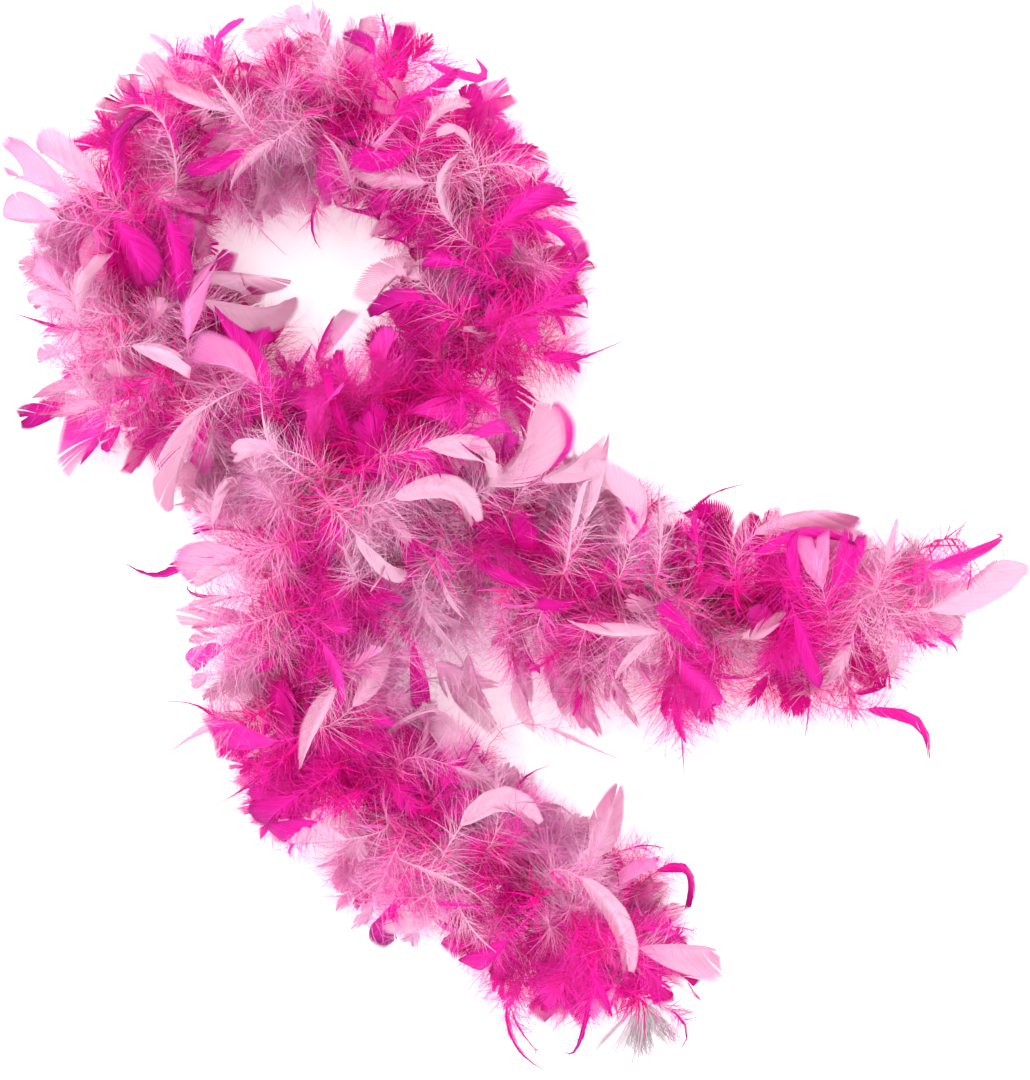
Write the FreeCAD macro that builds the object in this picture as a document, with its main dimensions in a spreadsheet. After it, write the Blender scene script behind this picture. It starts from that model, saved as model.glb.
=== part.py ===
import FreeCAD, Part
import math
import os

# A feather boa lying in an open loop with its two tails crossed, as it is laid out for sale.
# Units are millimetres. The floor is z = 0, +Z is up, and the origin is under the middle of the whole boa.
#
# The boa is one twisted yarn core. Feathers are caught by their quills in the core, all the way along and
# all the way round, in alternating bundles of two dyed colours. A sewing thread locks the bundles, a
# whipping closes each end of the core, and past the whipping the core's plies fray into loose strands.

Vector = FreeCAD.Vector

# Driving dimensions, in the order they are written to the sheet.
SIZES = [
    ("cord_diameter", 6.0),
    ("whipping_length", 12.0),
    ("whipping_wall", 0.8),
    ("thread_diameter", 0.6),
    ("thread_loops", 48),
    ("strand_diameter", 1.0),
    ("strand_count", 14),
    ("lower_fray_length", 44.0),
    ("upper_fray_length", 26.0),
    ("section_count", 24),
    ("feathers_per_group", 8),
    ("vane_thickness", 1.0),
    ("quill_length", 16.0),
    ("quill_radius", 0.9),
    ("quill_tip_radius", 0.5),
    ("quill_seat", 0.6),
    ("floor_gap", 0.2),
    ("broad_length", 86.0),
    ("broad_width", 31.0),
    ("broad_reach", 63.0),
    ("broad_curl", 92.0),
    ("slender_length", 66.0),
    ("slender_width", 15.0),
    ("slender_reach", 70.0),
    ("slender_curl", 84.0),
    ("short_length", 62.0),
    ("short_width", 25.0),
    ("short_reach", 50.0),
    ("short_curl", 62.0),
]

# The core's route: x, y, and the height at which the feathers hold it off the floor. It runs from the
# upper tail's end, under the other tail, round the loop, over itself and down to the lower tail's end.
ROUTE = [
    (279, -15, 30), (240, -36, 36), (192, -45, 41), (137, -46, 43), (82, -33, 41), (31, -14, 42),
    (-21, 12, 40), (-72, 41, 36), (-131, 65, 34), (-189, 92, 39), (-237, 131, 42), (-267, 186, 43),
    (-261, 244, 41), (-217, 287, 43), (-155, 305, 42), (-90, 298, 44), (-35, 265, 42), (-3, 210, 43),
    (-4, 155, 47), (-34, 107, 63), (-80, 69, 84), (-123, 27, 84), (-149, -27, 64), (-150, -89, 47),
    (-121, -148, 42), (-69, -196, 43), (-7, -228, 41), (48, -262, 40), (82, -297, 33), (101, -323, 24),
]

ARC_SHARE = 0.45  # of the shorter of the two runs that meet at a point
GOLDEN_ANGLE = 137.5  # degrees from one feather's root to the next, round the core
END_ZONE = 40.0  # the last stretch of core, whose feathers lean out past its end

document = FreeCAD.newDocument("feather_boa")
sheet = document.addObject("Spreadsheet::Sheet", "Sizes")
for row, (alias, value) in enumerate(SIZES, start=1):
    sheet.set(f"A{row}", alias.replace("_", " "))
    sheet.set(f"B{row}", str(value))
    sheet.setAlias(f"B{row}", alias)
document.recompute()

sub_parts = []


def size(alias):
    """The sheet's value for an alias."""
    return float(sheet.get(alias))


def bind(thing, **expressions):
    """Binds properties to the sheet. A double underscore in a name stands for a dot."""
    for name, expression in expressions.items():
        thing.setExpression(name.replace("__", "."), expression)
    return thing


def sub_part(thing, label):
    """Gives a finished object the label that names its file."""
    thing.Label = label
    sub_parts.append(thing)
    return thing


def feature(label, shape):
    """A sub-part whose shape is worked out here."""
    thing = document.addObject("Part::Feature", label)
    thing.Shape = shape
    thing.Placement = FreeCAD.Placement()
    return sub_part(thing, label)


# ---------------------------------------------------------------- the yarn core

def tube_path(points):
    """Straight runs joined by tangent arcs, and the arcs' radii."""
    runs = [b - a for a, b in zip(points, points[1:])]
    edges, radii = [], []
    start = points[0]
    for corner, before, after in zip(points[1:-1], runs, runs[1:]):
        trim = ARC_SHARE * min(before.Length, after.Length)
        half_turn = before.getAngle(after) / 2
        radius = trim / math.tan(half_turn)
        way_in = Vector(before).normalize()
        way_out = Vector(after).normalize()
        inward = (way_out - way_in).normalize()
        arc_start = corner - way_in * trim
        arc_end = corner + way_out * trim
        arc_middle = corner + inward * (radius / math.cos(half_turn) - radius)
        edges.append(Part.LineSegment(start, arc_start).toShape())
        edges.append(Part.Arc(arc_start, arc_middle, arc_end).toShape())
        radii.append(radius)
        start = arc_end
    edges.append(Part.LineSegment(start, points[-1]).toShape())
    return Part.Wire(edges), radii


route_points = [Vector(*point) for point in ROUTE]
core_path, bend_radii = tube_path(route_points)
CORE_LENGTH = core_path.Length
print("core length", round(CORE_LENGTH), "mm")
print("bend radii, mm:", [round(radius) for radius in bend_radii])


def along_core(distance):
    """The point of the core's centre line at a distance from its start, and the way it runs there."""
    left = min(max(distance, 0.0), CORE_LENGTH)
    for edge in core_path.OrderedEdges:
        if left <= edge.Length or edge.isSame(core_path.OrderedEdges[-1]):
            place = edge.getParameterByLength(min(left, edge.Length))
            return edge.valueAt(place), edge.tangentAt(place).normalize()
        left -= edge.Length


def turned_to(direction):
    """The rotation that carries +Z to a direction."""
    return FreeCAD.Rotation(Vector(0, 0, 1), direction)


path_object = document.addObject("Part::Feature", "core_path")
path_object.Shape = core_path
start_point, start_way = along_core(0)
end_point, end_way = along_core(CORE_LENGTH)

core_section = document.addObject("Part::Circle", "core_section")
core_section.Placement = FreeCAD.Placement(start_point, turned_to(start_way))
bind(core_section, Radius="Sizes.cord_diameter / 2")
core = document.addObject("Part::Sweep", "yarn_core")
core.Sections = [core_section]
core.Spine = (path_object, [f"Edge{number + 1}" for number in range(len(core_path.Edges))])
core.Solid = True
core.Frenet = False
sub_part(core, "yarn_core")


# ---------------------------------------------------------------- what closes and locks the core

def whipping(label, point, way):
    """A wound thread sleeve round the core, from a point along a way."""
    place = FreeCAD.Placement(point, turned_to(way))
    outside = document.addObject("Part::Cylinder", label + "_outside")
    bind(outside, Radius="Sizes.cord_diameter / 2 + Sizes.whipping_wall", Height="Sizes.whipping_length")
    hollow = document.addObject("Part::Cylinder", label + "_hollow")
    bind(hollow, Radius="Sizes.cord_diameter / 2", Height="Sizes.whipping_length")
    sleeve = document.addObject("Part::Cut", label)
    sleeve.Base = outside
    sleeve.Tool = hollow
    sleeve.Placement = place
    return sub_part(sleeve, label)


whipping("end_whipping_upper", start_point, start_way)
whipping("end_whipping_lower", end_point, end_way * -1)


def thread_loops():
    """The turns of sewing thread that lock the feather bundles, spaced evenly between the whippings."""
    loop_radius = size("cord_diameter") / 2 + size("thread_diameter") / 2
    clear = 2 * size("whipping_length")
    pitch = (CORE_LENGTH - 2 * clear) / (size("thread_loops") - 1)
    loops = []
    for number in range(int(size("thread_loops"))):
        point, way = along_core(clear + number * pitch)
        loops.append(Part.makeTorus(loop_radius, size("thread_diameter") / 2, point, way))
    return Part.makeCompound(loops)


feature("binding_thread", thread_loops())


def frayed_strands(point, way, reach):
    """The loose strands past a whipping: a fan of bent round strands that droops towards the floor."""
    count = int(size("strand_count"))
    radius = size("strand_diameter") / 2
    side = way.cross(Vector(0, 0, 1)).normalize()
    upward = side.cross(way).normalize()
    strands = []
    for number in range(count):
        turn = math.radians(GOLDEN_ANGLE * number)
        spread = math.sqrt((number + 0.5) / count)
        offset = side * math.cos(turn) + upward * math.sin(turn)
        root = point + offset * (size("cord_diameter") / 2 - radius) * spread
        length = reach * (1 - 0.25 * spread * abs(math.sin(2 * turn)))
        tip = root + way * length + side * (0.42 * length * spread * math.cos(turn))
        tip.z = radius + size("floor_gap") + 5 * (1 + math.sin(turn)) * spread
        bow = 0.12 if number % 2 else -0.09
        middle = (root + tip) * 0.5 + side * (bow * length)
        middle.z = max(middle.z, tip.z) + radius
        arc = Part.Arc(root, middle, tip).toShape()
        profile = Part.Wire([Part.makeCircle(radius, root, arc.tangentAt(arc.FirstParameter))])
        strands.append(Part.Wire([arc]).makePipeShell([profile], True, False))
    return Part.makeCompound(strands)


feature("frayed_yarn_upper", frayed_strands(start_point, start_way * -1, size("upper_fray_length")))
feature("frayed_yarn_lower", frayed_strands(end_point, end_way, size("lower_fray_length")))


# ---------------------------------------------------------------- the three feather patterns

def curved_shell(kind):
    """A thin cylindrical wall that touches the X axis at the origin and curls up towards +Z."""
    across = FreeCAD.Rotation(Vector(1, 0, 0), -90)
    walls = []
    for side, sign in (("outer", "+"), ("inner", "-")):
        wall = document.addObject("Part::Cylinder", f"{kind}_shell_{side}")
        wall.Placement = FreeCAD.Placement(Vector(0, 0, 0), across)
        bind(
            wall,
            Radius=f"Sizes.{kind}_curl {sign} Sizes.vane_thickness / 2",
            Height=f"2 * Sizes.{kind}_width",
            Placement__Base__y=f"-Sizes.{kind}_width",
            Placement__Base__z=f"Sizes.{kind}_curl",
        )
        walls.append(wall)
    shell = document.addObject("Part::Cut", kind + "_shell")
    shell.Base, shell.Tool = walls
    return shell


def leaf_sides(kind):
    """Two upright cylinders whose overlap is the pointed leaf outline, seen from above."""
    sides = []
    arc = f"(Sizes.{kind}_length ^ 2 + Sizes.{kind}_width ^ 2) / (4 * Sizes.{kind}_width)"
    for side, sign in (("left", "-"), ("right", "")):
        wall = document.addObject("Part::Cylinder", f"{kind}_{side}")
        bind(
            wall,
            Radius=arc,
            Height=f"Sizes.{kind}_curl",
            Placement__Base__x=f"Sizes.quill_length / 3 + Sizes.{kind}_length / 2",
            Placement__Base__y=f"{sign}({arc} - Sizes.{kind}_width / 2)",
            Placement__Base__z="-Sizes.vane_thickness",
        )
        sides.append(wall)
    return sides


def feather_pattern(kind):
    """One feather: a curled vane with a rounded end, and the quill that seats in the core."""
    end = document.addObject("Part::Cylinder", kind + "_end")
    bind(
        end,
        Radius=f"Sizes.{kind}_reach",
        Height=f"Sizes.{kind}_curl",
        Placement__Base__z="-Sizes.vane_thickness",
    )
    vane = document.addObject("Part::MultiCommon", kind + "_vane")
    vane.Shapes = [curved_shell(kind), *leaf_sides(kind), end]
    quill = document.addObject("Part::Cone", kind + "_quill")
    quill.Placement = FreeCAD.Placement(Vector(0, 0, 0), FreeCAD.Rotation(Vector(0, 1, 0), 90))
    bind(
        quill,
        Radius1="Sizes.quill_radius",
        Radius2="Sizes.quill_tip_radius",
        Height="Sizes.quill_length",
    )
    whole = document.addObject("Part::MultiFuse", kind + "_feather")
    whole.Shapes = [vane, quill]
    return whole


KINDS = ("broad", "slender", "short")
patterns = {kind: feather_pattern(kind) for kind in KINDS}
document.recompute()


# ---------------------------------------------------------------- the feather bundles

def feather_frame(direction, curl):
    """Local axes as a matrix: +X along the quill, +Z to the side that the vane curls to."""
    curl = (curl - direction * curl.dot(direction)).normalize()
    width = curl.cross(direction)
    return FreeCAD.Matrix(
        direction.x, width.x, curl.x, 0,
        direction.y, width.y, curl.y, 0,
        direction.z, width.z, curl.z, 0,
        0, 0, 0, 1,
    )


def lean_of(distance, number):
    """How far a feather leans along the core, in radians: to and fro, and outwards at the two ends."""
    swing = math.radians(34) * math.sin(2.4 * number)
    to_start, to_end = distance, CORE_LENGTH - distance
    if to_start < END_ZONE:
        return swing / 2 - math.radians(58) * (1 - to_start / END_ZONE)
    if to_end < END_ZONE:
        return swing / 2 + math.radians(58) * (1 - to_end / END_ZONE)
    return swing


def placed_feather(kind, distance, number):
    """A copy of a pattern, seated in the core and kept above the floor."""
    point, way = along_core(distance)
    side = way.cross(Vector(0, 0, 1)).normalize()
    upward = side.cross(way).normalize()
    turn = math.radians(GOLDEN_ANGLE * number)
    outward = side * math.sin(turn) + upward * math.cos(turn)
    lean = lean_of(distance, number)
    direction = outward * math.cos(lean) + way * math.sin(lean)
    # The core's height limits how steeply a feather can point down: a lower one splays out sideways.
    steepest = -max(point.z - 12, 4) / size(kind + "_reach")
    low = direction.z < steepest
    if low:
        flat = Vector(direction.x, direction.y, 0)
        if flat.Length < 0.35:
            flat = flat + side * (0.6 if number % 2 else -0.6)
        flat = flat.normalize() * math.sqrt(1 - steepest ** 2)
        direction = Vector(flat.x, flat.y, steepest)
    swirl = math.radians(97 * number)
    curl = Vector(0, 0, 1) if low else way * math.cos(swirl) + way.cross(direction) * math.sin(swirl)
    seat = size("cord_diameter") / 2 - size("quill_seat")
    root = point + direction * seat
    lift = 0.0
    while True:
        raised = (direction + Vector(0, 0, lift)).normalize()
        matrix = feather_frame(raised, curl + Vector(0, 0, lift * 4))
        copy = patterns[kind].Shape.transformed(matrix)
        copy.translate(root)
        lowest = copy.optimalBoundingBox(False).ZMin
        if lowest >= size("floor_gap"):
            return copy
        lift += 0.06


def feather_group(section, offset):
    """The feathers of one colour in one section of core, each a solid of its own."""
    count = int(size("feathers_per_group"))
    span = CORE_LENGTH / size("section_count")
    feathers = []
    for place in range(count):
        number = (section * count + place) * 2 + offset
        distance = (section + (place + 0.25 + 0.5 * offset) / count) * span
        feathers.append(placed_feather(KINDS[(number // 2) % len(KINDS)], distance, number))
    return Part.makeCompound(feathers)


for section in range(int(size("section_count"))):
    feature(f"feathers_hot_pink_{section + 1:02d}", feather_group(section, 0))
    feature(f"feathers_pale_pink_{section + 1:02d}", feather_group(section, 1))


# ---------------------------------------------------------------- checks and export

document.recompute()
for thing in document.Objects:
    if {"Invalid", "Error"} & set(thing.State):
        raise RuntimeError(f"{thing.Name} failed: {thing.State}")
for thing in sub_parts:
    if thing.Shape.isNull() or not thing.Shape.isValid() or not thing.Shape.Solids:
        raise RuntimeError(f"{thing.Label} has no valid solid")

section_area = math.pi * size("cord_diameter") ** 2 / 4
print("core volume over section times length:", round(core.Shape.Volume / (section_area * CORE_LENGTH), 4))
everything = Part.makeCompound([thing.Shape for thing in sub_parts])
box = everything.optimalBoundingBox(False)
print("box, mm:", [round(v, 1) for v in (box.XMin, box.YMin, box.ZMin, box.XMax, box.YMax, box.ZMax)])
print("volume, cm3:", round(everything.Volume / 1000), "solids:", len(everything.Solids))

os.makedirs("parts", exist_ok=True)
for thing in sub_parts:
    thing.Shape.exportStep(f"parts/{thing.Label}.step")
print("wrote", len(sub_parts), "sub-parts")
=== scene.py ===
import math

import bpy
import numpy as np
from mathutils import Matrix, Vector


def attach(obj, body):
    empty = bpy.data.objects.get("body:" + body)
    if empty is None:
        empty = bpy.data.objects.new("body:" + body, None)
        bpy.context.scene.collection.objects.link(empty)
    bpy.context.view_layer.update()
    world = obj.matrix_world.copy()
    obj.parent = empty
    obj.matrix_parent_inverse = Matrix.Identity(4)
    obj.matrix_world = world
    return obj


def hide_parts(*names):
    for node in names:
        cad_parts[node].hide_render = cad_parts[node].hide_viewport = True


# A two-tone feather boa lying in a loop, seen from straight above. Metres, in the CAD model's frame:
# the floor is z = 0. Every feather is built barb by barb: a quill, loose down round its lower part,
# stiff side barbs and a vane of zipped barbs that curls and splits.

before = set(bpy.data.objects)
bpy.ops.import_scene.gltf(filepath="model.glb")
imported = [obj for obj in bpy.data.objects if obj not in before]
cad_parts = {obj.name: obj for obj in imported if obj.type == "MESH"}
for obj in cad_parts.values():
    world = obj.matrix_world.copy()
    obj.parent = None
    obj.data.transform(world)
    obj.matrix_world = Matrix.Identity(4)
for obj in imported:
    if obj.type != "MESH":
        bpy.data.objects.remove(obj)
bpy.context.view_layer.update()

SEED = 20
SECTIONS = 24

# The core's route, the same points as the CAD tube.
ROUTE = [
    (0.279, -0.015, 0.030), (0.240, -0.036, 0.036), (0.192, -0.045, 0.041), (0.137, -0.046, 0.043),
    (0.082, -0.033, 0.041), (0.031, -0.014, 0.042), (-0.021, 0.012, 0.040), (-0.072, 0.041, 0.036),
    (-0.131, 0.065, 0.034), (-0.189, 0.092, 0.039), (-0.237, 0.131, 0.042), (-0.267, 0.186, 0.043),
    (-0.261, 0.244, 0.041), (-0.217, 0.287, 0.043), (-0.155, 0.305, 0.042), (-0.090, 0.298, 0.044),
    (-0.035, 0.265, 0.042), (-0.003, 0.210, 0.043), (-0.004, 0.155, 0.047), (-0.034, 0.107, 0.063),
    (-0.080, 0.069, 0.084), (-0.123, 0.027, 0.084), (-0.149, -0.027, 0.064), (-0.150, -0.089, 0.047),
    (-0.121, -0.148, 0.042), (-0.069, -0.196, 0.043), (-0.007, -0.228, 0.041), (0.048, -0.262, 0.040),
    (0.082, -0.297, 0.033), (0.101, -0.323, 0.024),
]
ROUTE_STEPS = 14
CORE_RADIUS = 0.003

# A strip that would leave this box is left out whole.
REACH_LOW = np.array([-0.346, -0.378, 0.0])
REACH_HIGH = np.array([0.366, 0.369, 0.170])

# Feathers lie squashed in a soft layer on the floor.
FLOOR_CLEAR = 0.0006
FLOOR_SOFT = 0.010

# The texture coordinates hold each strip's tint (0 deep to 1 light) and the tone along it.
TONE_MAP = "OFBake"
MAP_EDGE = 0.002
TINT_SPREAD = 0.006
TINT_RANGE = (0.03, 0.97)

UP = np.array([0.0, 0.0, 1.0])


# ------------------------------------------------------------------------------ camera and light

VIEW_HEIGHT = 0.7425
VIEW_CENTRE = (0.010, 0.0)
CAMERA_HEIGHT = 2.4
FOCUS_HEIGHT = 0.05
SENSOR_WIDTH = 36.0

SKY_COLOUR = (1.0, 0.985, 0.99, 1.0)
SKY_STRENGTH = 1.16
KEY_WATTS = 30.0
FILL_WATTS = 11.0

FLOOR_HALF = 6.0
FLOOR_COLOUR = (0.93, 0.93, 0.93, 1.0)
FLOOR_GLOW = 0.40


def make_camera():
    """Looks straight down from well above, with +Y up the picture."""
    data = bpy.data.cameras.new("camera")
    data.sensor_width = SENSOR_WIDTH
    data.lens = SENSOR_WIDTH * (CAMERA_HEIGHT - FOCUS_HEIGHT) / VIEW_HEIGHT
    data.clip_start = 0.1
    data.clip_end = 50.0
    camera = bpy.data.objects.new("camera", data)
    camera.location = (*VIEW_CENTRE, CAMERA_HEIGHT)
    bpy.context.scene.collection.objects.link(camera)
    bpy.context.scene.camera = camera


def area_light(name, place, size, watts, colour):
    """A large soft square light aimed at the middle of the floor."""
    data = bpy.data.lights.new(name, "AREA")
    data.shape = "SQUARE"
    data.size = size
    data.energy = watts
    data.color = colour
    lamp = bpy.data.objects.new(name, data)
    lamp.location = place
    lamp.rotation_mode = "QUATERNION"
    lamp.rotation_quaternion = (-Vector(place)).to_track_quat("-Z", "Y")
    bpy.context.scene.collection.objects.link(lamp)


def make_light():
    """A bright, even, white studio: a pale sky and two large soft lamps."""
    world = bpy.data.worlds.new("studio")
    world.use_nodes = True
    background = world.node_tree.nodes["Background"]
    background.inputs["Color"].default_value = SKY_COLOUR
    background.inputs["Strength"].default_value = SKY_STRENGTH
    bpy.context.scene.world = world
    area_light("key", (-1.3, 1.2, 2.3), 1.1, KEY_WATTS, (1.0, 0.99, 0.98))
    area_light("fill", (1.6, -1.2, 1.9), 1.6, FILL_WATTS, (1.0, 0.97, 0.99))
    bpy.context.scene.view_settings.view_transform = "Standard"


def make_floor():
    """A plain floor that glows a little, so that it is white."""
    data = bpy.data.meshes.new("floor")
    corners = [(x * FLOOR_HALF, y * FLOOR_HALF, 0) for x, y in ((-1, -1), (1, -1), (1, 1), (-1, 1))]
    data.from_pydata(corners, [], [(0, 1, 2, 3)])
    floor = bpy.data.objects.new("floor", data)
    material = bpy.data.materials.new("floor_white")
    material.use_nodes = True
    shader = material.node_tree.nodes["Principled BSDF"]
    shader.inputs["Base Color"].default_value = FLOOR_COLOUR
    shader.inputs["Roughness"].default_value = 0.9
    shader.inputs["Emission Color"].default_value = (1.0, 1.0, 1.0, 1.0)
    shader.inputs["Emission Strength"].default_value = FLOOR_GLOW
    data.materials.append(material)
    bpy.context.scene.collection.objects.link(floor)


make_camera()
make_light()
make_floor()


# ------------------------------------------------------------------------------ the core's line

def route_line():
    """Points along the smooth line of the core, read from a NURBS curve through the route."""
    data = bpy.data.curves.new("route", "CURVE")
    data.dimensions = "3D"
    spline = data.splines.new("NURBS")
    spline.points.add(len(ROUTE) - 1)
    for point, place in zip(spline.points, ROUTE):
        point.co = (*place, 1.0)
    spline.order_u = 3
    spline.use_endpoint_u = True
    spline.resolution_u = ROUTE_STEPS
    holder = bpy.data.objects.new("route", data)
    mesh = bpy.data.meshes.new_from_object(holder)
    places = np.array([tuple(v.co) for v in mesh.vertices])
    bpy.data.meshes.remove(mesh)
    bpy.data.objects.remove(holder)
    bpy.data.curves.remove(data)
    return places


def run_along(points):
    """The distance from the first point to each point, along them."""
    return np.concatenate([[0.0], np.cumsum(np.linalg.norm(np.diff(points, axis=0), axis=1))])


def unit(v):
    """Vectors along the last axis, made one long."""
    return v / np.maximum(np.linalg.norm(v, axis=-1, keepdims=True), 1e-12)


def interpolate(at, places, values):
    """Vectors between those given at places."""
    return np.stack([np.interp(at, places, values[:, k]) for k in range(3)], axis=-1)


LINE = route_line()
LINE_AT = run_along(LINE)
LINE_WAY = unit(np.gradient(LINE, axis=0))
CORE_LENGTH = float(LINE_AT[-1])


def along_core(distance):
    """Points on the core's line, and the way it runs there, at distances from its start."""
    return interpolate(distance, LINE_AT, LINE), unit(interpolate(distance, LINE_AT, LINE_WAY))


def core_frame(way):
    """The sideways (left of travel) and upward directions across the core."""
    side = unit(np.cross(UP, way))
    return side, np.cross(way, side)


# ------------------------------------------------------------------------------ mesh building

class Strips:
    """Collects ribbons and tubes as one mesh, with a tone along each and a tint for each."""

    def __init__(self):
        self.points, self.quads, self.tones, self.tints = [], [], [], []
        self.count = 0

    def add_grid(self, grid, tone, tint, closed=False):
        """grid: strips x stations x edges x 3. tone: strips x stations. tint: one per strip."""
        inside = np.all((grid > REACH_LOW) & (grid < REACH_HIGH), axis=(1, 2, 3))
        grid, tone, tint = grid[inside], tone[inside], tint[inside]
        strips, stations, edges, _ = grid.shape
        index = np.arange(strips * stations * edges).reshape(strips, stations, edges) + self.count
        across = np.concatenate([index, index[:, :, :1]], axis=2) if closed else index
        quads = np.stack(
            [across[:, :-1, :-1], across[:, :-1, 1:], across[:, 1:, 1:], across[:, 1:, :-1]], axis=-1
        )
        self.points.append(grid.reshape(-1, 3))
        self.quads.append(quads.reshape(-1, 4))
        self.tones.append(np.repeat(tone[:, :, None], edges, axis=2).ravel())
        spread = np.linspace(-TINT_SPREAD, TINT_SPREAD, edges)
        self.tints.append((tint[:, None, None] + np.zeros((1, stations, 1)) + spread).ravel())
        self.count += strips * stations * edges

    def mesh(self, name):
        """The mesh, with the tint and tone laid out as its texture coordinates."""
        points = np.concatenate(self.points)
        quads = np.concatenate(self.quads)
        data = bpy.data.meshes.new(name)
        data.vertices.add(len(points))
        data.vertices.foreach_set("co", points.astype(np.float32).ravel())
        data.loops.add(quads.size)
        data.loops.foreach_set("vertex_index", quads.astype(np.int32).ravel())
        data.polygons.add(len(quads))
        data.polygons.foreach_set("loop_start", np.arange(0, quads.size, 4, dtype=np.int32))
        data.polygons.foreach_set("use_smooth", np.ones(len(quads), dtype=bool))
        data.update(calc_edges=True)
        layer = data.uv_layers.new(name=TONE_MAP)
        uv = np.stack([np.concatenate(self.tints), np.concatenate(self.tones)], axis=-1)
        uv = np.clip(uv, MAP_EDGE, 1 - MAP_EDGE)[quads.ravel()]
        layer.data.foreach_set("uv", uv.astype(np.float32).ravel())
        return data


def press_to_floor(points):
    """The points, with those that would pass through the floor squashed into its soft layer."""
    depth = np.minimum(points[..., 2] - FLOOR_SOFT, 0.0)
    squashed = FLOOR_CLEAR + (FLOOR_SOFT - FLOOR_CLEAR) * np.exp(depth / FLOOR_SOFT)
    result = points.copy()
    result[..., 2] = np.where(depth < 0.0, squashed, points[..., 2])
    return result


def tube(points, radii, sides):
    """A round tube along points: stations x sides x 3."""
    way = unit(np.gradient(points, axis=0))
    odd_way = [0.31, 0.52, 0.79]
    across = [unit(np.cross(way[0], odd_way))]
    for k in range(1, len(points)):
        across.append(unit(across[-1] - way[k] * np.dot(across[-1], way[k])))
    across = np.array(across)
    other = np.cross(way, across)
    turn = np.arange(sides) * 2 * math.pi / sides
    ring = across[:, None] * np.cos(turn)[None, :, None] + other[:, None] * np.sin(turn)[None, :, None]
    return points[:, None] + ring * np.asarray(radii)[:, None, None]


# ------------------------------------------------------------------------------ one feather

QUILL_STEPS = np.linspace(0.0, 1.0, 14)
CURL_POWER = 1.6
FIT_STEPS = 80


class Feather:
    """The line of a feather's quill, and how its width and face lie along it, from 0 to 1."""

    def __init__(self, points, way, width, face):
        self.points, self.way, self.width, self.face = points, way, width, face
        self.length = float(np.linalg.norm(np.diff(points, axis=0), axis=1).sum())

    def point(self, t):
        """The point at one position t along the quill."""
        return interpolate(np.array([t]), QUILL_STEPS, self.points)[0]

    def at(self, t):
        """Point, way, width and face directions at positions t along the quill."""
        directions = [unit(interpolate(t, QUILL_STEPS, v)) for v in (self.way, self.width, self.face)]
        return interpolate(t, QUILL_STEPS, self.points), *directions


def curled_feather(root, direction, curl_to, length, curl, bend):
    """A feather that sets out one way and curls over towards another."""
    curl_to = unit(curl_to - direction * np.dot(curl_to, direction))
    turn = (curl * QUILL_STEPS ** CURL_POWER)[:, None]
    way = np.cos(turn) * direction + np.sin(turn) * curl_to
    face = -np.sin(turn) * direction + np.cos(turn) * curl_to
    width = np.cross(face, way)
    swing = (bend * QUILL_STEPS)[:, None]
    heading = np.cos(swing) * way + np.sin(swing) * width
    width = -np.sin(swing) * way + np.cos(swing) * width
    steps = unit(heading[:-1] + heading[1:]) * (length / (len(QUILL_STEPS) - 1))
    points = root + np.concatenate([np.zeros((1, 3)), np.cumsum(steps, axis=0)])
    return Feather(points, heading, width, face)


def laid_feather(places, roll, twist):
    """A feather whose quill runs smoothly through four places, face up but for a roll and a twist."""
    chord = run_along(places)
    chord /= chord[-1]
    fit = np.polyfit(chord, places, 3)
    fine = np.linspace(0.0, 1.0, FIT_STEPS)[:, None]
    line = fit[0] * fine ** 3 + fit[1] * fine ** 2 + fit[2] * fine + fit[3]
    run = run_along(line)
    points = interpolate(QUILL_STEPS * run[-1], run, line)
    way = unit(np.gradient(points, axis=0))
    flat_face = unit(UP - way * (way @ UP)[:, None])
    flat_width = np.cross(flat_face, way)
    turn = (roll + twist * QUILL_STEPS)[:, None]
    face = np.cos(turn) * flat_face + np.sin(turn) * flat_width
    width = np.cos(turn) * flat_width - np.sin(turn) * flat_face
    vane_from = float(np.interp(chord[1], fine[:, 0], run / run[-1]))
    return Feather(points, way, width, face), vane_from


# How fast a hair ripples across its two sides, how strong the second ripple is, and how it tapers.
RIPPLE_TURNS = (9.0, 7.0)
RIPPLE_SHARE = 0.7
HAIR_TIP = 0.12
HAIR_TAPER = 1.5


def hair_grid(root, way, sideways, length, bow, wave, thickness, stations, rng):
    """Tapered ribbons: a root and a way each, bowed to one side and a little wavy."""
    u = np.linspace(0.0, 1.0, stations)[None, :, None]
    length, bow, wave, thickness = (v[:, None, None] for v in (length, bow, wave, thickness))
    way, sideways = way[:, None], sideways[:, None]
    third = np.cross(way, sideways)
    phase = rng.uniform(0, 2 * math.pi, (len(root), 1, 1))
    line = root[:, None] + length * (way * u + sideways * (bow * u ** 2))
    line = line + third * (np.sin(u * RIPPLE_TURNS[0] + phase) * u * wave)
    line = line + sideways * (np.cos(u * RIPPLE_TURNS[1] + phase) * u * RIPPLE_SHARE * wave)
    run = unit(np.gradient(line, axis=1))
    spin = rng.uniform(0, 2 * math.pi, (len(root), 1, 1))
    across = unit(np.cross(run, np.cos(spin) * sideways + np.sin(spin) * third))
    across = across * (HAIR_TIP + (1 - HAIR_TIP) * (1.0 - u ** HAIR_TAPER)) * 0.5 * thickness
    return press_to_floor(np.stack([line - across, line + across], axis=2))


def any_side(heading, rng):
    """A random direction square to each heading."""
    return unit(np.cross(heading, rng.normal(0, 1, heading.shape)))


def left_or_right(count, rng):
    """-1 or 1 for each, as a column."""
    return np.where(rng.uniform(0, 1, count) < 0.5, -1.0, 1.0)[:, None]


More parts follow.
